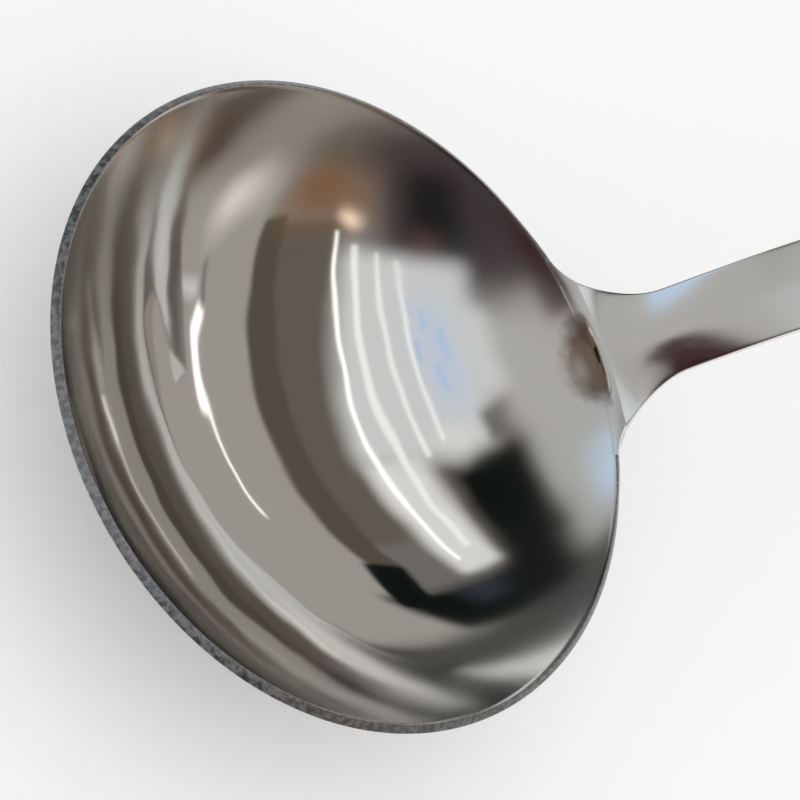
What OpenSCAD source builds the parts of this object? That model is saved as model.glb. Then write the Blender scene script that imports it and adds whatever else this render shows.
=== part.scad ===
// Soup ladle of polished stainless steel: a round drawn bowl and a flat strip handle, joined by a weld.
// The handle leans out along +X, the bowl opens upwards (+Z), and the origin is the middle of the flat foot.

/* [Bowl] */
// Diameter over the outer edge of the rim
rim_d = 92; // [60:1:110]
// Radius of the spherical inside
inside_r = 57; // [50:1:90]
// Thickness of the drawn sheet
sheet_t = 1.3; // [0.8:0.1:2]
// Diameter of the flat foot pressed on the underside
foot_d = 12; // [8:1:16]

/* [Seat of the handle] */
// Depth of the dished seat that is pressed into the bowl's wall at the rim
seat_dip = 1.3; // [0.8:0.1:2]
// Radius of the dished seat
seat_r = 12; // [9:0.5:20]
// Distance from the rim to the deepest point of the seat
seat_back = 1; // [0.3:0.1:2]
// How far the handle's face lies outside the line of the bowl's inner wall
face_drop = 0.4; // [0.2:0.1:1]

/* [Handle] */
// Thickness of the strip
strip_t = 2.2; // [1.5:0.1:3]
// Width of the neck
neck_w = 12.4; // [10:0.1:16]
// Radius of the two arcs that flare the neck out into the rim
flare_r = 10; // [7:0.5:14]
// Length of the lower run, from the rim to the bend
lower_len = 10; // [8:1:60]
// Radius of the face in the bend
bend_r = 120; // [60:5:250]
// Angle by which the bend lays the handle back
bend_a = 31; // [5:1:35]
// Length of the tapered shaft, from the bend to the grip
shaft_len = 125; // [60:1:160]
// Length of the grip, from the shaft to the tip
grip_len = 40; // [20:1:80]
// Width of the grip
grip_w = 20; // [16:0.5:28]
// Size of the rounded clip at the grip's corners
corner_r = 4; // [2:0.5:7]
// Diameter of the hanging hole
hole_d = 6; // [4:0.5:9]
// Distance from the middle of the hole to the tip
hole_back = 11; // [8:0.5:14]

/* [Weld] */
// Width of the bead between the rim and the root of the handle
bead_w = 0.8; // [0.4:0.1:1.5]
// Reach of the fillet over the face of the handle
face_fillet = 2.6; // [1:0.1:4]
// Reach of the fillet down the outside of the bowl
back_fillet = 2.2; // [1:0.1:4]

/* [Hidden] */
$fn = 180;
steel = [0.78, 0.78, 0.77];
bright_steel = [0.84, 0.84, 0.83];
weld_steel = [0.6, 0.57, 0.53];
outside_r = inside_r + sheet_t;
// Slope of the wall at the rim, and angle from the bowl's axis to the rim, seen from the sphere's centre
rim_a = asin(rim_d / 2 / outside_r);
sphere_z = sqrt(pow(outside_r, 2) - pow(foot_d / 2, 2));
far = 6 * rim_d;
// The root is cupped from the bead to cup_len, a little proud of the flat strip, which starts at strip_from
cup_len = 6;
strip_from = 5;
cup_proud = 0.1;
// How far the weld's face starts behind the inner edge of the rim, inside the sheet
weld_drop = 0.02;
cup_face = face_drop - cup_proud;
cup_back = cup_face + strip_t;

// Points of the section at the handle, as [x, z], from the distance past the rim and out from the inner wall
function near_rim(past, out) = [
    inside_r * sin(rim_a) + past * cos(rim_a) + out * sin(rim_a),
    sphere_z - inside_r * cos(rim_a) + past * sin(rim_a) - out * cos(rim_a)
];

// Centre line of the handle's face, one [x, z, slope] for each corner or step of the bend
function along(from, len) = [
    from[0] + len * cos(from[2]),
    from[1] + len * sin(from[2]),
    from[2]
];
function laid_back(from, r, a) = [
    from[0] + r * (sin(from[2]) - sin(from[2] - a)),
    from[1] + r * (cos(from[2] - a) - cos(from[2])),
    from[2] - a
];
face_start = concat(near_rim(strip_from, face_drop), [rim_a]);
bend_start = along(face_start, lower_len - strip_from);
bend_steps = ceil(bend_a / 2);
bend = [for (i = [0:bend_steps]) laid_back(bend_start, bend_r, bend_a * i / bend_steps)];
shaft_low = bend[bend_steps];
shaft_top = along(shaft_low, shaft_len);
tip = along(shaft_top, grip_len);
face = concat([face_start], bend, [tip]);

// The flare's arcs run from the line of the rim into the sides of the neck without a corner
rim_z = near_rim(0, face_drop)[1];
flare_z = rim_z + flare_r;
// The root is cut off where the flare is still this far past the rim: half its width there, and its angle
root_past = 1.25 * bead_w;
root_half_w = neck_w / 2 + flare_r - sqrt(pow(flare_r, 2) - pow(flare_r - root_past * sin(rim_a), 2));
root_a = asin(2 * root_half_w / rim_d);

// Local frame at the rim: +X along the wall's tangent, +Z into the bowl, origin on the inner wall
module at_rim() {
    translate([near_rim(0, 0)[0], 0, near_rim(0, 0)[1]])
    rotate([0, -rim_a, 0])
    children();
}

// Everything below the cone that trims the rim square to the wall
module below_rim() {
    reach = 2 * outside_r;
    rotate_extrude()
    polygon([[0, sphere_z], [reach * sin(rim_a), sphere_z - reach * cos(rim_a)],
             [0, sphere_z - reach * cos(rim_a)]]);
}

module seat_ball(r) {
    at_rim() translate([-seat_back, 0, seat_r - seat_dip]) sphere(r = r);
}

// The bowl before it is hollowed
module bowl_blank() {
    intersection() {
        union() {
            translate([0, 0, sphere_z]) sphere(r = outside_r);
            seat_ball(seat_r + sheet_t);
        }
        below_rim();
    }
}

module bowl() {
    color(steel)
    difference() {
        bowl_blank();
        translate([0, 0, sphere_z]) sphere(r = inside_r);
        seat_ball(seat_r);
        translate([0, 0, -far / 2]) cube(far, center = true);
    }
}

// A section given as [distance past the rim, distance out from the inner wall], swept around the bowl's axis
module around_rim(section, half_a) {
    rotate([0, 0, -half_a])
    rotate_extrude(angle = 2 * half_a)
    polygon([for (p = section) near_rim(p[0], p[1])]);
}

// Side view of the strip, with its face on the centre line and its back one thickness behind
module strip_side() {
    back = [for (i = [len(face) - 1:-1:0])
        [face[i][0] + strip_t * sin(face[i][2]), face[i][1] - strip_t * cos(face[i][2])]];
    rotate([90, 0, 0])
    linear_extrude(far, center = true)
    polygon(concat([for (p = face) [p[0], p[1]]], back));
}

// Front view of the handle: flared root, straight neck, tapered shaft and straight grip
module strip_front() {
    full_w = max(neck_w + 2 * flare_r, grip_w);
    rotate([90, 0, 90])
    linear_extrude(far)
    difference() {
        translate([-full_w / 2, 0]) square([full_w, far]);
        for (side = [-1, 1]) {
            translate([side * (neck_w / 2 + flare_r), flare_z]) circle(r = flare_r);
            polygon([[side * far, flare_z], [side * neck_w / 2, flare_z],
                     [side * neck_w / 2, shaft_low[1]], [side * grip_w / 2, shaft_top[1]],
                     [side * grip_w / 2, far], [side * far, far]]);
        }
    }
}

// Local frame at the tip: +X towards the end, +Z out of the face
module at_tip() {
    translate([tip[0], 0, tip[1]]) rotate([0, -tip[2], 0]) children();
}

// Outline that clips the tip's corners, seen on the face: the arcs cross the sides and the end at an angle
module tip_outline() {
    flat_w = grip_w - 2 * corner_r;
    translate([-far, -far / 2]) square([far - corner_r, far]);
    translate([-2 * corner_r, -flat_w / 2]) square([3 * corner_r, flat_w]);
    for (side = [-1, 1]) translate([-corner_r, side * flat_w / 2]) circle(r = 1.1 * corner_r);
}

// The cupped part of the root follows the curve of the rim
module cupped_root() {
    around_rim([[bead_w, cup_face], [cup_len, cup_face], [cup_len, cup_back], [bead_w, cup_back]], root_a);
}

module handle() {
    color(bright_steel)
    difference() {
        intersection() {
            union() {
                strip_side();
                cupped_root();
            }
            strip_front();
            at_tip() linear_extrude(far, center = true) tip_outline();
        }
        at_tip() translate([-hole_back, 0, 0]) cylinder(h = 4 * strip_t, d = hole_d, center = true);
    }
}

// The bead fills the joint past the rim, with a thin fillet on the handle's face and another that backs the
// bowl. It is dressed to the sides of the flare, and hollowed with the seat. Its section reaches into the
// bowl's sheet, which is then taken away.
module root_weld() {
    color(weld_steel)
    difference() {
        intersection() {
            around_rim([[-sheet_t, sheet_t / 2], [-weld_drop, weld_drop], [face_fillet, cup_face],
                        [bead_w, cup_face], [bead_w, cup_back], [-back_fillet, sheet_t - cup_proud]], root_a);
            strip_front();
        }
        bowl_blank();
        seat_ball(seat_r);
    }
}

bowl();
handle();
root_weld();
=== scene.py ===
"""Soup ladle of polished stainless steel: drawn bowl, flat strip handle and the dressed weld between them."""

import logging
import math
from dataclasses import dataclass, field, replace
from enum import Enum

import bmesh
import bpy
from mathutils import Matrix, Vector


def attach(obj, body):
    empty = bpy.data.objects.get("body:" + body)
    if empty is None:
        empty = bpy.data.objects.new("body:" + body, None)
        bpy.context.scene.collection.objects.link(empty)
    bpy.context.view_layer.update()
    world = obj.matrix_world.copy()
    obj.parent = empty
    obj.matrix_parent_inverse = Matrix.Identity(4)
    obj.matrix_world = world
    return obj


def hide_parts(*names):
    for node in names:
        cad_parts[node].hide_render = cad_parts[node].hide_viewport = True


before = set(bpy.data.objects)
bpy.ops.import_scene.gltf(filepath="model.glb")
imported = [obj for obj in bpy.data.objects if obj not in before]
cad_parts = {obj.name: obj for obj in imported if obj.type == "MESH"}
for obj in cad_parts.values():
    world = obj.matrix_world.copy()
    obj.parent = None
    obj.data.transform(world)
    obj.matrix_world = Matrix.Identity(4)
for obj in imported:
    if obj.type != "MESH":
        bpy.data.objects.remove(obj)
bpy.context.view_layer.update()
MM = 0.001
SHARP = math.radians(38)
log = logging.getLogger("ladle")


class Part(Enum):
    """Names of the ladle's three pieces, as the frame has them."""

    BOWL = "bowl"
    HANDLE = "handle"
    WELD = "root_weld"


def smooth_step(low: float, high: float, value: float) -> float:
    """Eases from 0 at low to 1 at high.

    Args:
        low: value at which the ramp starts.
        high: value at which the ramp ends.
        value: where the ramp is read.

    Returns:
        A number from 0 to 1.
    """
    t = min(max((value - low) / (high - low), 0.0), 1.0)
    return t * t * (3.0 - 2.0 * t)


@dataclass(frozen=True)
class Seat:
    """The place on the rim where the handle joins, shared by all three pieces. Sizes in metres.

    The position of a point there is told by how far it lies past the rim along the wall, and how far out from the
    line of the inner wall.
    """

    inside_r: float = 57 * MM
    sheet_t: float = 1.3 * MM
    rim_r: float = 46 * MM
    foot_r: float = 6 * MM
    dip: float = 0.7 * MM
    dish_to: float = 0.7 * MM
    dish_len: float = 6.0 * MM
    dish_w: float = 7.4 * MM
    dish_side: float = -0.5 * MM
    neck_w: float = 12.6 * MM
    flare_r: float = 10 * MM
    lift: float = 0.25 * MM
    lift_turn: float = math.radians(19.5)
    lift_width: float = math.radians(6.0)
    face_drop: float = 0.3 * MM
    face_run: float = 3 * MM

    @property
    def rim_angle(self) -> float:
        """Angle at the sphere's centre from the bowl's axis to the rim, which is the wall's slope there."""
        return math.asin(self.rim_r / (self.inside_r + self.sheet_t))

    @property
    def centre_z(self) -> float:
        """Height of the sphere's centre over the foot."""
        return math.sqrt((self.inside_r + self.sheet_t) ** 2 - self.foot_r**2)

    def flare(self, s: float) -> float:
        """Half the width of neck and flare at a distance s past the rim."""
        rise = s * math.sin(self.rim_angle)
        half = self.neck_w / 2
        if rise < self.flare_r:
            half += self.flare_r - math.sqrt(self.flare_r**2 - (self.flare_r - rise) ** 2)
        return half

    def flare_reach(self, y: float) -> float:
        """Distance past the rim at which the flare reaches y to the side."""
        gap = min(max(self.neck_w / 2 + self.flare_r - abs(y), 0.0), self.flare_r)
        return (self.flare_r - math.sqrt(self.flare_r**2 - gap**2)) / math.sin(self.rim_angle)

    def raised(self, turn: float) -> float:
        """How far the rim is raised along the wall, at the ends of the weld."""
        return self.lift * math.exp(-(((abs(turn) - self.lift_turn) / self.lift_width) ** 2))

    def dish(self, past: float, y: float) -> float:
        """Depth of the dished seat: soft towards the bowl, and steep where it meets the handle's face.

        Args:
            past: distance past the rim along the wall, negative inside the bowl.
            y: distance to the side of the centre line.

        Returns:
            How far the dish lies out of the wall's line.
        """
        away = math.hypot((past - self.dish_to) / self.dish_len, (y - self.dish_side) / self.dish_w)
        ahead = 1.0 - smooth_step(self.dish_to - 0.6 * MM, self.dish_to + 0.6 * MM, past)
        return self.dip * (1.0 - smooth_step(0.15, 1.05, away)) * ahead

    def face(self, past: float, y: float) -> float:
        """How far the handle's face, or the weld on it, lies out of the inner wall's line."""
        return self.face_drop * smooth_step(0.0, self.face_run, past) + self.dish(past, y)

    def on_cone(self, past: float, out: float, turn: float) -> Vector:
        """Point given past the rim and out of the wall, turned about the bowl's axis.

        Args:
            past: distance past the rim along the wall.
            out: distance out of the inner wall's line.
            turn: angle about the bowl's axis, 0 at the handle.

        Returns:
            The point in the ladle's frame.
        """
        a = self.rim_angle
        r = self.inside_r * math.sin(a) + past * math.cos(a) + out * math.sin(a)
        z = self.centre_z - self.inside_r * math.cos(a) + past * math.sin(a) - out * math.cos(a)
        return Vector((r * math.cos(turn), r * math.sin(turn), z))


def finish_piece(bm: bmesh.types.BMesh, part: Part, material: bpy.types.Material) -> bpy.types.Object:
    """Turns a finished bmesh into a piece that replaces the CAD node of the same name.

    Args:
        bm: the shape, in metres and in place.
        part: which piece it is.
        material: its finish.

    Returns:
        The new object.
    """
    bmesh.ops.recalc_face_normals(bm, faces=bm.faces)
    mesh = bpy.data.meshes.new(f"{part.value}_mesh")
    bm.to_mesh(mesh)
    bm.free()
    mesh.shade_smooth()
    mesh.set_sharp_from_angle(angle=SHARP)
    mesh.materials.append(material)
    piece = bpy.data.objects.new(f"ladle_{part.value}", mesh)
    bpy.context.scene.collection.objects.link(piece)
    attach(piece, "root")
    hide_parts(part.value)
    log.info("%s: %d faces", piece.name, len(mesh.polygons))
    return piece


@dataclass
class Bowl:
    """The drawn bowl, a spherical shell with a small flat foot, dished and a little raised at the handle's root."""

    seat: Seat
    edge_r: float = 0.15 * MM
    segments: int = 360
    wall_steps: int = 84

    def profile(self) -> list[Vector]:
        """Half section from the middle of the inside, over the rim, to the middle of the foot."""
        s = self.seat
        a = s.rim_angle
        out_r = s.inside_r + s.sheet_t
        foot_angle = math.asin(s.foot_r / out_r)
        points = []

        def at(radius: float, angle: float) -> None:
            points.append(Vector((radius * math.sin(angle), 0.0, s.centre_z - radius * math.cos(angle))))

        end = a - self.edge_r / s.inside_r
        for i in range(self.wall_steps + 1):
            at(s.inside_r, end * i / self.wall_steps)
        for corner_r, first in ((s.inside_r + self.edge_r, -90.0), (out_r - self.edge_r, 0.0)):
            for step in range(1, 4):
                turn = math.radians(first + 90.0 * step / 3)
                radius = corner_r + self.edge_r * math.sin(turn)
                at(radius, a - (self.edge_r - self.edge_r * math.cos(turn)) / radius)
        for i in range(self.wall_steps):
            at(out_r, end + (foot_angle - end) * (i + 1) / self.wall_steps)
        points.append(Vector((0.0, 0.0, 0.0)))
        return points

    def build(self, material: bpy.types.Material) -> bpy.types.Object:
        """Spins the section, then presses the dish and raises the rim beside the root.

        Args:
            material: the bowl's finish.

        Returns:
            The bowl.
        """
        bm = bmesh.new()
        verts = [bm.verts.new(p) for p in self.profile()]
        edges = [bm.edges.new(pair) for pair in zip(verts, verts[1:])]
        bmesh.ops.spin(bm, geom=verts + edges, cent=(0, 0, 0), axis=(0, 0, 1), dvec=(0, 0, 0),
                       angle=math.tau, steps=self.segments, use_merge=True, use_normal_flip=False,
                       use_duplicate=False)
        bmesh.ops.remove_doubles(bm, verts=bm.verts, dist=1e-7)
        centre = Vector((0.0, 0.0, self.seat.centre_z))
        for v in bm.verts:
            ray = v.co - centre
            angle = math.acos(min(1.0, -ray.z / ray.length))
            turn = math.atan2(v.co.y, v.co.x)
            past = (angle - self.seat.rim_angle) * self.seat.inside_r
            if abs(turn) > math.pi / 4:
                continue
            side = math.hypot(v.co.x, v.co.y) * math.sin(turn)
            v.co += ray.normalized() * self.seat.dish(past, side)
            tangent = Vector((math.cos(turn) * math.cos(angle), math.sin(turn) * math.cos(angle), math.sin(angle)))
            v.co += tangent * self.seat.raised(turn) * smooth_step(-4 * MM, 0.0, past)
        return finish_piece(bm, Part.BOWL, material)


@dataclass
class Handle:
    """The strip handle, swept along its edge from the root, round the tip and back. Sizes in metres.

    The rows of the sweep are told by their distance from the rim. At the hanging hole they turn about its middle.
    """

    seat: Seat
    start: float = 0.8 * MM
    path_drop: float = 0.4 * MM
    strip_t: float = 2.2 * MM
    lower_len: float = 10 * MM
    bend_r: float = 120 * MM
    bend_turn: float = math.radians(31)
    shaft_len: float = 125 * MM
    grip_len: float = 40 * MM
    grip_w: float = 20 * MM
    corner_r: float = 4 * MM
    hole_r: float = 3 * MM
    hole_back: float = 11 * MM
    cup_len: float = 11 * MM
    neck_crown: float = 1.05 * MM
    shaft_crown: float = 0.2 * MM
    crown_power: float = 1.5
    edge_r: float = 0.3 * MM
    face_steps: int = 14
    root_row: float = 0.25 * MM
    row: float = 2.0 * MM
    tip_rows: int = 72

    @property
    def shaft_from(self) -> float:
        """Distance from the rim to the start of the shaft, along the face."""
        return self.lower_len + self.bend_r * self.bend_turn

    @property
    def hole_at(self) -> float:
        """Distance from the rim to the middle of the hanging hole, along the face."""
        return self.shaft_from + self.shaft_len + self.grip_len - self.hole_back

    def half_width(self, s: float) -> float:
        """Half the strip's width at a distance s from the rim, up to the hole."""
        share = min(max((s - self.shaft_from) / self.shaft_len, 0.0), 1.0)
        return self.seat.flare(s) + (self.grip_w - self.seat.neck_w) / 2 * share

    def tip_reach(self, turn: float) -> float:
        """Distance from the hole's middle to the outline of the tip, straight across with clipped corners.

        Args:
            turn: direction, 0 towards the side and a quarter turn towards the tip.

        Returns:
            The distance on the flat pattern.
        """
        across, ahead = abs(math.cos(turn)), math.sin(turn)
        half_w = self.grip_w / 2
        reach = min(half_w / max(across, 1e-9), self.hole_back / max(ahead, 1e-9))
        corner = Vector((half_w - self.corner_r, self.hole_back - self.corner_r))
        if reach * across > corner.x and reach * ahead > corner.y:
            near = corner.dot(Vector((across, ahead)))
            clip = near + math.sqrt(max(near**2 - corner.length_squared + (1.1 * self.corner_r) ** 2, 0.0))
            return min(reach, clip)
        return reach

    def path(self, s: float) -> tuple[float, float, float]:
        """Place and slope of the face's centre line.

        Args:
            s: distance from the rim along the face.

        Returns:
            x, z and slope.
        """
        a = self.seat.rim_angle
        x, _, z = self.seat.on_cone(0.0, self.path_drop, 0.0)
        below, above = min(s, self.lower_len), max(s - self.shaft_from, 0.0)
        turned = min(max(s - self.lower_len, 0.0) / self.bend_r, self.bend_turn)
        b = a - turned
        x += below * math.cos(a) + self.bend_r * (math.sin(a) - math.sin(b)) + above * math.cos(b)
        z += below * math.sin(a) + self.bend_r * (math.cos(b) - math.cos(a)) + above * math.sin(b)
        return x, z, b

    def crown(self, s: float, y: float) -> float:
        """How far the crowned face lies under its centre line.

        Args:
            s: distance from the rim.
            y: distance to the side.

        Returns:
            The drop of the face.
        """
        height = self.neck_crown + (self.shaft_crown - self.neck_crown) * smooth_step(12 * MM, 30 * MM, s)
        height *= smooth_step(-2 * MM, 4 * MM, s)
        height *= 1.0 - smooth_step(self.hole_at - 40 * MM, self.hole_at - 14 * MM, s)
        return height * min(abs(y) / self.half_width(min(s, self.hole_at)), 1.0) ** self.crown_power

    def place(self, s: float, y: float, depth: float) -> Vector:
        """Takes a point of the flat pattern to its place on the bent, crowned and cupped strip.

        Args:
            s: distance from the rim.
            y: distance to the side.
            depth: 0 on the face and 1 on the back.

        Returns:
            The point in the ladle's frame.
        """
        under = self.crown(s, y) * (1.0 - depth) + self.strip_t * depth
        x, z, a = self.path(s)
        flat = Vector((x + under * math.sin(a), y, z - under * math.cos(a)))
        cup = 1.0 - smooth_step(0.0, self.cup_len, s)
        if cup <= 0.0:
            return flat
        level = self.seat.face(s, y) * (1.0 - depth) + self.seat.face_drop * depth + under
        turn = math.asin(y / self.seat.rim_r)
        return flat.lerp(self.seat.on_cone(s, level, turn), cup)

    def section(self, inner: float, outer: float) -> list[tuple[float, float]]:
        """Half section as pairs of distance from the middle and depth.

        Args:
            inner: distance at which the section starts.
            outer: distance of the strip's edge.

        Returns:
            Points from the inner end of the face, round the edge, to the inner end of the back.
        """
        r = self.edge_r
        share = r / self.strip_t
        flat = [(inner + (outer - r - inner) * i / self.face_steps, 0.0) for i in range(self.face_steps)]
        arc = [(outer - r + r * math.sin(t), share * (1 - math.cos(t)))
               for t in (math.radians(90 * i / 4) for i in range(5))]
        back = [(d, 1.0 - h) for d, h in reversed(flat + arc)]
        return flat + arc + back

    def stations(self) -> list[tuple[float, float]]:
        """Rows of the sweep up one side: distance from the rim and turn about the hole's middle."""
        rows = [(self.start + self.root_row * i, 0.0) for i in range(round(self.cup_len / self.root_row))]
        first = rows[-1][0] + self.root_row
        count = round((self.hole_at - first) / self.row)
        rows += [(first + (self.hole_at - first) * i / count, 0.0) for i in range(count + 1)]
        return rows + [(self.hole_at, math.pi * i / self.tip_rows) for i in range(1, self.tip_rows)]

    def row_points(self, s: float, turn: float, side: float) -> list[Vector]:
        """One row of the sweep.

        Args:
            s: distance from the rim.
            turn: turn about the hole's middle, 0 before it.
            side: 1 or -1.

        Returns:
            The placed points of the half section.
        """
        before_hole = self.hole_at - s
        inner = math.sqrt(self.hole_r**2 - before_hole**2) if before_hole < self.hole_r else 0.0
        outer = self.tip_reach(turn) if turn else self.half_width(s)
        points = []
        for d, depth in self.section(inner, outer):
            points.append(self.place(s + d * math.sin(turn), side * d * math.cos(turn), depth))
        return points

    def build(self, material: bpy.types.Material) -> bpy.types.Object:
        """Extrudes the half section from the root up one side, round the tip and down the other side.

        Args:
            material: the handle's finish.

        Returns:
            The handle.
        """
        up = self.stations()
        straight = [row for row in up if row[1] == 0.0]
        sweep = [(s, t, 1.0) for s, t in up] + [(s, 0.0, -1.0) for s, _ in reversed(straight)]
        bm = bmesh.new()
        chain = [bm.verts.new(p) for p in self.row_points(*sweep[0])]
        edges = [bm.edges.new(pair) for pair in zip(chain, chain[1:])]
        for row in sweep[1:]:
            made = bmesh.ops.extrude_edge_only(bm, edges=edges)["geom"]
            edges = [g for g in made if isinstance(g, bmesh.types.BMEdge)]
            new = [g for g in made if isinstance(g, bmesh.types.BMVert)]
            moved = dict(zip((tuple(v.co) for v in chain), self.row_points(*row)))
            by_place = {tuple(v.co): v for v in new}
            chain = [by_place[key] for key in moved]
            for v, co in zip(chain, moved.values()):
                v.co = co
        bmesh.ops.remove_doubles(bm, verts=bm.verts, dist=1e-7)
        self.close(bm)
        return finish_piece(bm, Part.HANDLE, material)

    def close(self, bm: bmesh.types.BMesh) -> None:
        """Closes the wall of the hanging hole and the end at the weld."""
        open_edges = [e for e in bm.edges if e.is_boundary]
        hole_x = self.path(self.hole_at)[0]
        hole = [e for e in open_edges if abs(e.verts[0].co.x - hole_x) < 4 * self.hole_r]
        rest = [e for e in open_edges if e not in set(hole)]
        bmesh.ops.bridge_loops(bm, edges=hole)
        bmesh.ops.holes_fill(bm, edges=rest, sides=0)


@dataclass
class RootWeld:
    """The dressed bead between rim and root, with a fillet behind. Sizes in metres."""

    seat: Seat
    half_turn: float = math.radians(19.5)
    steps: int = 120
    top_steps: int = 12
    back_turn: float = math.radians(12.0)
    bead: float = 1.8 * MM
    lap: float = 0.9 * MM
    proud: float = 0.012 * MM
    back_reach: float = 2.2 * MM
    handle_t: float = 2.2 * MM

    def section(self, turn: float) -> list[Vector]:
        """Section of the bead at a turn about the bowl's axis.

        Args:
            turn: angle about the bowl's axis, 0 in the middle of the root.

        Returns:
            The corners, from the bowl's inside over the face to the back.
        """
        s = self.seat
        y = s.rim_r * math.sin(turn)
        level = s.dish(0.0, y)
        back = s.face_drop + self.handle_t
        bead = min(self.bead, s.flare_reach(y))
        corner = 1.0 - smooth_step(self.back_turn, self.half_turn, abs(turn))
        swell = 0.03 * MM * math.sin(turn * 90.0) + 0.02 * MM * math.sin(turn * 217.0 + 1.0)
        lip = -self.lap
        points = []
        for i in range(self.top_steps + 1):
            share = i / self.top_steps
            past = lip + (bead - lip) * share
            points.append((past, s.face(past, y) + self.proud * (1.0 - 2.0 * math.sin(math.pi * share))))
        thick = (back - s.sheet_t) * corner + s.sheet_t
        points += [(bead, s.face(bead, y) + 0.3 * MM), (bead, thick - 0.3 * MM), (0.75 * bead, thick),
                   (0.2 * bead, thick - 0.15 * MM + swell),
                   (-0.8 * MM, level + s.sheet_t + 0.35 * MM * corner),
                   (-self.back_reach * corner + lip, level * 0.75 + s.sheet_t + 0.02 * MM),
                   (-self.back_reach * corner + lip, level * 0.75 + s.sheet_t - 0.3 * MM),
                   (lip, level + 0.5 * MM)]
        return [s.on_cone(past + s.raised(turn), out, turn) for past, out in points]

    def build(self, material: bpy.types.Material) -> bpy.types.Object:
        """Sweeps the section along the rim and closes its ends.

        Args:
            material: the weld's finish.

        Returns:
            The weld.
        """
        bm = bmesh.new()
        loop = [bm.verts.new(p) for p in self.section(-self.half_turn)]
        edges = [bm.edges.new((a, b)) for a, b in zip(loop, loop[1:] + loop[:1])]
        bmesh.ops.contextual_create(bm, geom=edges)
        for i in range(1, self.steps + 1):
            points = self.section(self.half_turn * (2 * i / self.steps - 1))
            made = bmesh.ops.extrude_edge_only(bm, edges=edges)["geom"]
            edges = [g for g in made if isinstance(g, bmesh.types.BMEdge)]
            by_place = {tuple(g.co): g for g in made if isinstance(g, bmesh.types.BMVert)}
            loop = [by_place[tuple(v.co)] for v in loop]
            for v, co in zip(loop, points):
                v.co = co
        bmesh.ops.contextual_create(bm, geom=edges)
        return finish_piece(bm, Part.WELD, material)


class Shader:
    """Small helper that adds and links nodes in one material's tree."""

    def __init__(self, tree: bpy.types.NodeTree) -> None:
        """Keeps the tree that the nodes go into."""
        self.tree = tree

    def node(self, kind: str, **inputs: object) -> bpy.types.Node:
        """Adds a node.

        Args:
            kind: the node's type.
            inputs: values or sockets for its inputs, and settings under a leading underscore.

        Returns:
            The node.
        """
        made = self.tree.nodes.new(kind)
        for key, value in inputs.items():
            if key.startswith("_"):
                setattr(made, key[1:], value)
                continue
            name = key.replace("__", " ")
            socket = made.inputs[int(name[1:])] if name[0] == "i" and name[1:].isdigit() else made.inputs[name]
            if isinstance(value, bpy.types.NodeSocket):
                self.tree.links.new(value, socket)
            else:
                socket.default_value = value
        return made

    def link(self, value: bpy.types.NodeSocket, socket: bpy.types.NodeSocket) -> None:
        """Links an output to an input."""
        self.tree.links.new(value, socket)

    def mix(self, share: object, low: object, high: object) -> bpy.types.NodeSocket:
        """Blends two numbers."""
        return self.node("ShaderNodeMix", i0=share, i2=low, i3=high).outputs[0]

    def mix_colour(self, share: object, low: object, high: object) -> bpy.types.NodeSocket:
        """Blends two colours, each given as a socket or as three numbers."""
        low, high = (c if isinstance(c, bpy.types.NodeSocket) else (*c, 1.0) for c in (low, high))
        return self.node("ShaderNodeMix", _data_type="RGBA", i0=share, i6=low, i7=high).outputs[2]

    def math(self, operation: str, a: object, b: object = 0.0, c: object = 0.0) -> bpy.types.NodeSocket:
        """Adds a math node and gives its result."""
        return self.node("ShaderNodeMath", _operation=operation, i0=a, i1=b, i2=c).outputs[0]

    def ramp(self, value: object, low: float, high: float, to_low: float, to_high: float) -> bpy.types.NodeSocket:
        """Maps a value smoothly from one range to another."""
        return self.node("ShaderNodeMapRange", _interpolation_type="SMOOTHSTEP", Value=value,
                         i1=low, i2=high, i3=to_low, i4=to_high).outputs[0]


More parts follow.
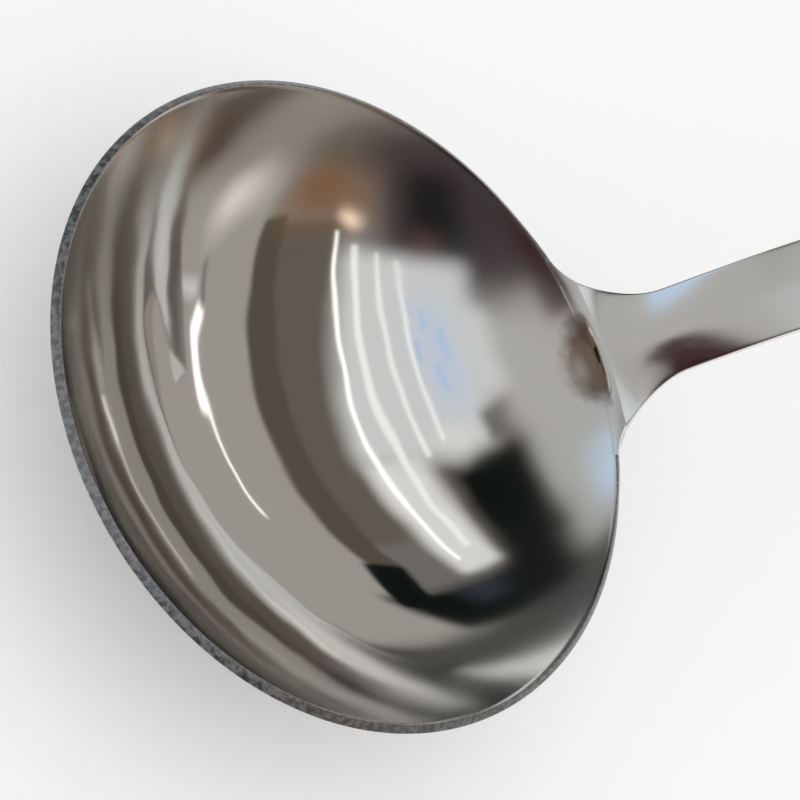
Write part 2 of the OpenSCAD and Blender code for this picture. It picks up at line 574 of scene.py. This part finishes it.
class Patterns:
    """Node groups that several finishes share: places on the ladle and marks in the steel."""

    def __init__(self, seat: Seat) -> None:
        """Keeps the seat and builds the groups."""
        self.seat = seat
        self.wall_place = self.make_wall_place()
        self.dish_mask = self.make_dish_mask()
        self.hairlines = self.make_hairlines()

    @staticmethod
    def group(name: str, inputs: tuple[tuple[str, str], ...], outputs: tuple[str, ...]) -> tuple:
        """Starts a node group.

        Args:
            name: the group's name.
            inputs: name and socket type of each input.
            outputs: names of the float outputs.

        Returns:
            The group, a shader helper for it, and its input and output nodes.
        """
        tree = bpy.data.node_groups.new(name, "ShaderNodeTree")
        for label, kind in inputs:
            tree.interface.new_socket(label, in_out="INPUT", socket_type=kind)
        for label in outputs:
            tree.interface.new_socket(label, in_out="OUTPUT", socket_type="NodeSocketFloat")
        return tree, Shader(tree), tree.nodes.new("NodeGroupInput"), tree.nodes.new("NodeGroupOutput")

    def make_wall_place(self) -> bpy.types.NodeTree:
        """Tells how many millimetres a point lies past the rim, along the bowl's wall, and to the side."""
        tree, sh, given, out = self.group("wall_place", (("Place", "NodeSocketVector"),), ("Past", "Side"))
        ray = sh.node("ShaderNodeVectorMath", _operation="SUBTRACT", i0=given.outputs[0],
                      i1=(0.0, 0.0, self.seat.centre_z)).outputs[0]
        length = sh.node("ShaderNodeVectorMath", _operation="LENGTH", i0=ray).outputs["Value"]
        axes = sh.node("ShaderNodeSeparateXYZ", Vector=ray).outputs
        angle = sh.math("ARCCOSINE", sh.math("DIVIDE", sh.math("MULTIPLY", axes[2], -1.0), length))
        past = sh.math("MULTIPLY", sh.math("SUBTRACT", angle, self.seat.rim_angle), self.seat.inside_r / MM)
        tree.links.new(past, out.inputs["Past"])
        tree.links.new(sh.math("DIVIDE", axes[1], MM), out.inputs["Side"])
        return tree

    def make_dish_mask(self) -> bpy.types.NodeTree:
        """Marks the dished seat, soft in the bowl and a little ragged where it meets the handle, and a painted
        highlight in it on the bowl's side.
        """
        kinds = (("Place", "NodeSocketVector"),)
        tree, sh, given, out = self.group("dish_mask", kinds, ("Mask", "PaintedHighlight"))
        place = sh.node("ShaderNodeGroup", _node_tree=self.wall_place, Place=given.outputs[0])
        ragged = sh.node("ShaderNodeTexNoise", Vector=given.outputs[0], Scale=600.0, Detail=3.0).outputs[0]
        ragged = sh.math("SUBTRACT", ragged, 0.5)
        side = sh.math("SUBTRACT", place.outputs["Side"], self.seat.dish_side / MM)
        wide = sh.math("DIVIDE", side, self.seat.dish_w / MM)
        past = sh.math("SUBTRACT", place.outputs["Past"], self.seat.dish_to / MM)
        deep = sh.math("DIVIDE", past, self.seat.dish_len / MM)
        away = sh.math("SQRT", sh.math("ADD", sh.math("MULTIPLY", deep, deep), sh.math("MULTIPLY", wide, wide)))
        away = sh.math("ADD", away, sh.math("MULTIPLY", ragged, 0.3))
        ahead = sh.ramp(sh.math("ADD", past, sh.math("MULTIPLY", ragged, 0.6)), -0.2, 0.2, 1.0, 0.0)
        mask = sh.math("MULTIPLY", sh.ramp(away, 0.6, 1.1, 1.0, 0.0), ahead)
        tree.links.new(mask, out.inputs["Mask"])
        # Painted highlight: a lighter patch in the seat, 2.6 mm inside the rim, standing in for light the hollow
        # catches; it is not oxide.
        painted_highlight_past = sh.math("DIVIDE", sh.math("ADD", place.outputs["Past"], 2.6), 1.6)
        painted_highlight_side = sh.math("DIVIDE", sh.math("ADD", place.outputs["Side"], 1.6), 3.2)
        painted_highlight = sh.math("SQRT", sh.math("ADD", sh.math("MULTIPLY", painted_highlight_past, painted_highlight_past),
                                       sh.math("MULTIPLY", painted_highlight_side, painted_highlight_side)))
        tree.links.new(sh.ramp(painted_highlight, 0.1, 1.1, 1.0, 0.0), out.inputs["PaintedHighlight"])
        return tree

    def make_hairlines(self) -> bpy.types.NodeTree:
        """Fine polishing lines: a noise drawn out along one direction."""
        kinds = (("Place", "NodeSocketVector"), ("Turn", "NodeSocketVector"), ("Stretch", "NodeSocketVector"))
        tree, sh, given, out = self.group("hairlines", kinds, ("Lines",))
        turned = sh.node("ShaderNodeMapping", Vector=given.outputs[0], Rotation=given.outputs[1],
                         Scale=given.outputs[2]).outputs[0]
        lines = sh.node("ShaderNodeTexNoise", Vector=turned, Scale=1.0, Detail=4.0, Roughness=0.7).outputs[0]
        tree.links.new(lines, out.inputs["Lines"])
        return tree


@dataclass(frozen=True)
class BowlFinish:
    """Mirror-polished inside, satin towards the rim, raw on the cut edge, brown and matt in the dished seat, with a
    painted highlight in the seat.
    """

    name: str = "bowl_polish"
    colour: tuple[float, float, float] = (0.70, 0.69, 0.67)
    edge_colour: tuple[float, float, float] = (0.40, 0.41, 0.43)
    dish_colour: tuple[float, float, float] = (0.27, 0.205, 0.155)
    # Colour of the painted highlight in the dished seat.
    painted_highlight_colour: tuple[float, float, float] = (0.46, 0.41, 0.36)
    mirror: float = 0.05
    satin: float = 0.17
    raw: float = 0.42
    dish_matt: float = 0.4
    ripple: float = 0.11 * MM

    def make(self, patterns: Patterns) -> bpy.types.Material:
        """Builds the material.

        Args:
            patterns: the shared node groups.

        Returns:
            The finished material.
        """
        mat = bpy.data.materials.new(self.name)
        mat.use_nodes = True
        sh = Shader(mat.node_tree)
        steel = mat.node_tree.nodes["Principled BSDF"]
        place = sh.node("ShaderNodeTexCoord").outputs["Object"]
        wall = sh.node("ShaderNodeGroup", _node_tree=patterns.wall_place, Place=place).outputs
        dish, painted_highlight = sh.node("ShaderNodeGroup", _node_tree=patterns.dish_mask, Place=place).outputs
        edge = sh.ramp(wall["Past"], -0.14, -0.06, 0.0, 1.0)
        grain = sh.node("ShaderNodeTexNoise", Vector=place, Scale=1400.0, Detail=3.0).outputs[0]
        slow = sh.node("ShaderNodeTexNoise", Vector=place, Scale=85.0, Detail=1.0).outputs[0]
        worn = sh.node("ShaderNodeTexNoise", Vector=place, Scale=160.0, Detail=4.0, Roughness=0.6).outputs[0]
        rough = sh.ramp(wall["Past"], -24.0, -1.0, self.mirror, self.satin)
        rough = sh.math("ADD", rough, sh.math("MULTIPLY", sh.math("SUBTRACT", worn, 0.5), 0.03))
        rough = sh.mix(dish, rough, self.dish_matt)
        rough = sh.mix(edge, rough, sh.ramp(grain, 0.3, 0.7, self.raw - 0.12, self.raw + 0.12))
        # The seat's brown is oxide; the lighter patch mixed into it is a painted highlight.
        tint = sh.mix_colour(dish, self.colour, sh.mix_colour(painted_highlight, self.dish_colour, self.painted_highlight_colour))
        pits = sh.mix_colour(sh.ramp(grain, 0.42, 0.6, 0.0, 1.0), [c * 0.6 for c in self.edge_colour],
                             self.edge_colour)
        tint = sh.mix_colour(edge, tint, pits)
        steel.inputs["Metallic"].default_value = 1.0
        sh.link(tint, steel.inputs["Base Color"])
        sh.link(rough, steel.inputs["Roughness"])
        wave = sh.node("ShaderNodeBump", Distance=self.ripple, Height=slow)
        pit_bump = sh.node("ShaderNodeBump", Distance=0.03 * MM, Strength=edge, Height=grain, Normal=wave.outputs[0])
        sh.link(pit_bump.outputs[0], steel.inputs["Normal"])
        return mat


@dataclass(frozen=True)
class StripFinish:
    """Polished strip with fine lengthwise hairlines, brushed across near the weld."""

    name: str = "strip_polish"
    colour: tuple[float, float, float] = (0.72, 0.71, 0.69)
    dish_colour: tuple[float, float, float] = (0.26, 0.19, 0.14)
    polish: float = 0.15
    worn: float = 0.42
    dish_matt: float = 0.4
    brushed: float = 0.24

    def make(self, patterns: Patterns) -> bpy.types.Material:
        """Builds the material.

        Args:
            patterns: the shared node groups.

        Returns:
            The finished material.
        """
        mat = bpy.data.materials.new(self.name)
        mat.use_nodes = True
        sh = Shader(mat.node_tree)
        steel = mat.node_tree.nodes["Principled BSDF"]
        place = sh.node("ShaderNodeTexCoord").outputs["Object"]
        wall = sh.node("ShaderNodeGroup", _node_tree=patterns.wall_place, Place=place).outputs
        dish = sh.node("ShaderNodeGroup", _node_tree=patterns.dish_mask, Place=place).outputs[0]
        slope = (0.0, patterns.seat.rim_angle, 0.0)
        lines = sh.node("ShaderNodeGroup", _node_tree=patterns.hairlines, Place=place, Turn=slope,
                        Stretch=(60.0, 2600.0, 600.0)).outputs[0]
        dressed = sh.ramp(wall["Past"], 2.0, 7.0, 1.0, 0.0)
        along = sh.ramp(wall["Past"], 15.0, 40.0, self.polish, self.worn)
        rough = sh.mix(dressed, along, self.brushed)
        rough = sh.math("ADD", rough, sh.math("MULTIPLY", sh.math("SUBTRACT", lines, 0.5), 0.12))
        rough = sh.mix(dish, rough, self.dish_matt)
        steel.inputs["Metallic"].default_value = 1.0
        sh.link(sh.mix_colour(dish, self.colour, self.dish_colour), steel.inputs["Base Color"])
        sh.link(rough, steel.inputs["Roughness"])
        stroke = sh.ramp(wall["Past"], 3.0, 8.0, 1.0, 0.25)
        bump = sh.node("ShaderNodeBump", Distance=0.006 * MM, Strength=stroke, Height=lines)
        sh.link(bump.outputs[0], steel.inputs["Normal"])
        return mat


class Card(Enum):
    """Colours of the scrim's cards, as light they give off."""

    WHITE = (1.2, 1.2, 1.17)
    LAMP = (1.9, 1.88, 1.8)
    PEARL = (0.80, 0.82, 0.83)
    CREAM = (0.92, 0.87, 0.80)
    SKY = (0.55, 0.74, 1.05)
    HAZE = (0.70, 0.80, 0.95)
    MILK = (0.92, 0.92, 0.90)
    MIST = (0.50, 0.57, 0.73)
    LIGHT_GREY = (0.56, 0.55, 0.53)
    GREY = (0.44, 0.42, 0.385)
    STONE = (0.34, 0.31, 0.27)
    ASH = (0.21, 0.20, 0.19)
    TAUPE = (0.165, 0.14, 0.115)
    UMBER = (0.12, 0.098, 0.078)
    COPPER = (0.27, 0.145, 0.075)
    BARK = (0.10, 0.066, 0.048)
    SOOT = (0.085, 0.087, 0.083)
    AMBER = (1.7, 1.3, 0.95)
    WINE = (0.10, 0.045, 0.05)
    PORT = (0.045, 0.009, 0.012)
    ICE = (0.68, 0.88, 1.12)
    PLUM = (0.062, 0.045, 0.05)
    SLATE = (0.028, 0.04, 0.055)
    BLACK = (0.006, 0.009, 0.008)


@dataclass(frozen=True)
class Gel:
    """A soft-edged card on the scrim, placed on the plane one unit over the ladle."""

    card: Card
    x: float
    y: float
    half_x: float
    half_y: float
    soft: float
    turn: float = 0.0


@dataclass
class Studio:
    """Pale floor, plain light, the scrim that the steel reflects, and the camera."""

    seat: Seat
    scrim_height: float = 1.6
    scrim_half: float = 12.0
    floor_half: float = 6.0
    heading: float = math.radians(15.485)
    elevation: float = math.radians(46.879)
    roll: float = math.radians(60.207)
    distance: float = 0.3
    aim: tuple[float, float] = (6.701 * MM, -1.746 * MM)
    lens: float = 100.14
    gels: list[Gel] = field(default_factory=lambda: [
        Gel(Card.GREY, 1.9, 0.3, 1.15, 3.2, 0.08),
        Gel(Card.STONE, 0.9, -2.0, 1.0, 0.65, 0.3),
        Gel(Card.TAUPE, -0.05, -1.75, 0.7, 0.4, 0.25, turn=0.5),
        Gel(Card.BARK, 5.2, -4.2, 3.4, 2.2, 0.5, turn=-0.1),
        Gel(Card.SOOT, 1.89, 6.26, 6.5, 3.0, 0.4, turn=0.38),
        Gel(Card.ASH, 0.4, 0.85, 0.25, 0.6, 0.05),
        Gel(Card.TAUPE, 0.45, 0.0, 0.3, 0.85, 0.06),
        Gel(Card.UMBER, 0.66, 0.1, 0.11, 1.0, 0.03),
        Gel(Card.LIGHT_GREY, -1.3, 0.9, 0.72, 1.3, 0.08),
        Gel(Card.PLUM, -0.8, -1.15, 0.8, 0.85, 0.22, turn=0.2),
        Gel(Card.BLACK, -0.42, -0.85, 0.2, 0.45, 0.14),
        Gel(Card.PORT, -1.5, -0.72, 0.42, 0.62, 0.04),
        Gel(Card.ICE, -1.45, 1.45, 0.4, 0.45, 0.2),
        Gel(Card.COPPER, 0.36, -1.1, 0.24, 0.26, 0.25),
        Gel(Card.COPPER, 0.1, -0.98, 0.1, 0.12, 0.15),
        Gel(Card.WINE, -0.33, -0.6, 0.1, 0.14, 0.08),
        Gel(Card.AMBER, 0.11, -0.84, 0.08, 0.03, 0.07, turn=-0.75),
        Gel(Card.CREAM, 1.28, -1.2, 0.3, 0.2, 0.25, turn=0.4),
        Gel(Card.BLACK, -0.33, 0.97, 0.26, 0.5, 0.12),
        Gel(Card.BLACK, -0.25, 1.8, 0.35, 0.6, 0.2),
        Gel(Card.BLACK, 0.35, 2.0, 0.7, 0.55, 0.12),
        Gel(Card.BLACK, 0.78, 1.4, 0.13, 0.36, 0.03, turn=-0.3),
        Gel(Card.SLATE, 0.3, 1.7, 0.16, 0.2, 0.12),
        Gel(Card.MILK, 0.12, 0.85, 0.15, 0.5, 0.06),
        Gel(Card.PEARL, -0.14, -0.08, 0.36, 0.5, 0.09, turn=-0.16),
        Gel(Card.ASH, -0.46, 0.37, 0.07, 0.1, 0.05),
        Gel(Card.MILK, -0.22, 0.36, 0.07, 0.09, 0.1, turn=0.5),
        Gel(Card.HAZE, -0.3, -0.05, 0.1, 0.28, 0.14),
        Gel(Card.SKY, -0.18, -0.3, 0.012, 0.05, 0.02),
        Gel(Card.SKY, -0.2, -0.08, 0.012, 0.06, 0.02),
        Gel(Card.SKY, -0.25, -0.22, 0.014, 0.05, 0.02),
        Gel(Card.SKY, -0.27, 0.05, 0.014, 0.06, 0.02),
        Gel(Card.SKY, -0.33, -0.1, 0.016, 0.08, 0.025),
        Gel(Card.PEARL, -0.52, -0.02, 0.1, 0.24, 0.08),
        Gel(Card.LAMP, 0.19, 0.2, 0.01, 0.95, 0.01),
        Gel(Card.WHITE, 0.07, 0.2, 0.02, 0.85, 0.012),
        Gel(Card.WHITE, -0.06, -0.1, 0.012, 0.5, 0.012),
        Gel(Card.WHITE, -0.17, -0.1, 0.01, 0.45, 0.012),
        Gel(Card.LAMP, 1.39, 0.4, 0.02, 0.3, 0.03, turn=0.15),
        Gel(Card.LAMP, 1.49, -0.12, 0.07, 0.24, 0.04, turn=0.05),
        Gel(Card.LAMP, 1.43, -0.38, 0.08, 0.08, 0.05, turn=-0.6),
        Gel(Card.ASH, 1.4, -0.6, 0.03, 0.15, 0.05, turn=0.3),
        Gel(Card.PEARL, 1.9, -0.62, 0.4, 0.04, 0.08, turn=-0.15),
    ])

    def make_floor(self) -> bpy.types.Object:
        """Lays the pale floor under the foot."""
        bm = bmesh.new()
        bmesh.ops.create_grid(bm, x_segments=1, y_segments=1, size=self.floor_half)
        mesh = bpy.data.meshes.new("floor_mesh")
        bm.to_mesh(mesh)
        bm.free()
        mat = bpy.data.materials.new("floor_paper")
        mat.use_nodes = True
        paper = mat.node_tree.nodes["Principled BSDF"]
        paper.inputs["Base Color"].default_value = (0.97, 0.97, 0.97, 1.0)
        paper.inputs["Roughness"].default_value = 0.9
        mesh.materials.append(mat)
        floor = bpy.data.objects.new("floor", mesh)
        bpy.context.scene.collection.objects.link(floor)
        return floor

    def make_scrim(self) -> bpy.types.Object:
        """Hangs the scrim, which only reflections see, with its gels painted on it."""
        bm = bmesh.new()
        bmesh.ops.create_grid(bm, x_segments=1, y_segments=1, size=self.scrim_half)
        bmesh.ops.translate(bm, verts=bm.verts, vec=(0, 0, self.scrim_height))
        mesh = bpy.data.meshes.new("scrim_mesh")
        bm.to_mesh(mesh)
        bm.free()
        mat = bpy.data.materials.new("scrim_light")
        mat.use_nodes = True
        tree = mat.node_tree
        tree.nodes.clear()
        sh = Shader(tree)
        place = sh.node("ShaderNodeTexCoord").outputs["Object"]
        colour = Card.STONE.value
        for gel in self.gels:
            colour = self.paint(sh, place, gel, colour)
        glow = sh.node("ShaderNodeEmission", Color=colour, Strength=1.0)
        out = sh.node("ShaderNodeOutputMaterial")
        tree.links.new(glow.outputs[0], out.inputs["Surface"])
        mesh.materials.append(mat)
        scrim = bpy.data.objects.new("scrim", mesh)
        bpy.context.scene.collection.objects.link(scrim)
        scrim.visible_camera = scrim.visible_diffuse = scrim.visible_shadow = False
        scrim.visible_transmission = False
        return scrim

    def paint(self, sh: Shader, place: bpy.types.NodeSocket, gel: Gel, under: object) -> bpy.types.NodeSocket:
        """Lays one soft-edged rectangle over the colour so far.

        Args:
            sh: the scrim's shader.
            place: Object coordinates on the scrim.
            gel: the rectangle.
            under: colour or socket that it covers.

        Returns:
            The new colour.
        """
        unit = self.scrim_height
        shifted = sh.node("ShaderNodeMapping", _vector_type="TEXTURE", Vector=place,
                          Location=(gel.x * unit, gel.y * unit, 0.0), Rotation=(0.0, 0.0, gel.turn),
                          Scale=(unit, unit, unit)).outputs[0]
        axes = sh.node("ShaderNodeSeparateXYZ", Vector=shifted).outputs
        masks = []
        for axis, half in ((axes[0], gel.half_x), (axes[1], gel.half_y)):
            masks.append(sh.ramp(sh.math("ABSOLUTE", axis), half - gel.soft, half + gel.soft, 1.0, 0.0))
        mask = sh.math("MULTIPLY", masks[0], masks[1])
        return sh.mix_colour(mask, under, gel.card.value)

    def make_world(self) -> None:
        """Sets the plain pale surroundings."""
        world = bpy.data.worlds.new("pale_room")
        bpy.context.scene.world = world
        world.use_nodes = True
        world.node_tree.nodes["Background"].inputs["Color"].default_value = (1.0, 1.0, 1.0, 1.0)

    def make_camera(self) -> None:
        """Sets up the camera at the photograph's angle, turned about its axis as the photograph is."""
        look = Vector((*self.aim, self.seat.on_cone(0.0, self.seat.sheet_t, 0.0).z))
        away = Vector((-math.cos(self.elevation) * math.cos(self.heading),
                       -math.cos(self.elevation) * math.sin(self.heading), math.sin(self.elevation)))
        level = Vector((math.sin(self.heading), -math.cos(self.heading), 0.0))
        rise = away.cross(level)
        across = math.cos(self.roll) * level + math.sin(self.roll) * rise
        up = math.cos(self.roll) * rise - math.sin(self.roll) * level
        data = bpy.data.cameras.new("camera")
        data.lens = self.lens
        data.sensor_width = 36.0
        data.clip_start = 0.01
        data.clip_end = 100.0
        camera = bpy.data.objects.new("camera", data)
        turn = Matrix((across, up, away)).transposed().to_4x4()
        camera.matrix_world = Matrix.Translation(look + away * self.distance) @ turn
        bpy.context.scene.collection.objects.link(camera)
        bpy.context.scene.camera = camera

    def build(self) -> None:
        """Sets the whole studio."""
        self.make_camera()
        self.make_world()
        self.make_floor()
        self.make_scrim()
        bpy.context.scene.view_settings.view_transform = "Standard"


def main() -> None:
    """Builds the ladle and its studio."""
    logging.basicConfig(level=logging.INFO, format="%(name)s: %(message)s")
    seat = Seat()
    patterns = Patterns(seat)
    Bowl(seat).build(BowlFinish().make(patterns))
    strip = StripFinish()
    Handle(seat).build(strip.make(patterns))
    RootWeld(seat).build(replace(strip, name="dressed_weld", polish=strip.brushed).make(patterns))
    Studio(seat).build()


if __name__ == "__main__":
    main()
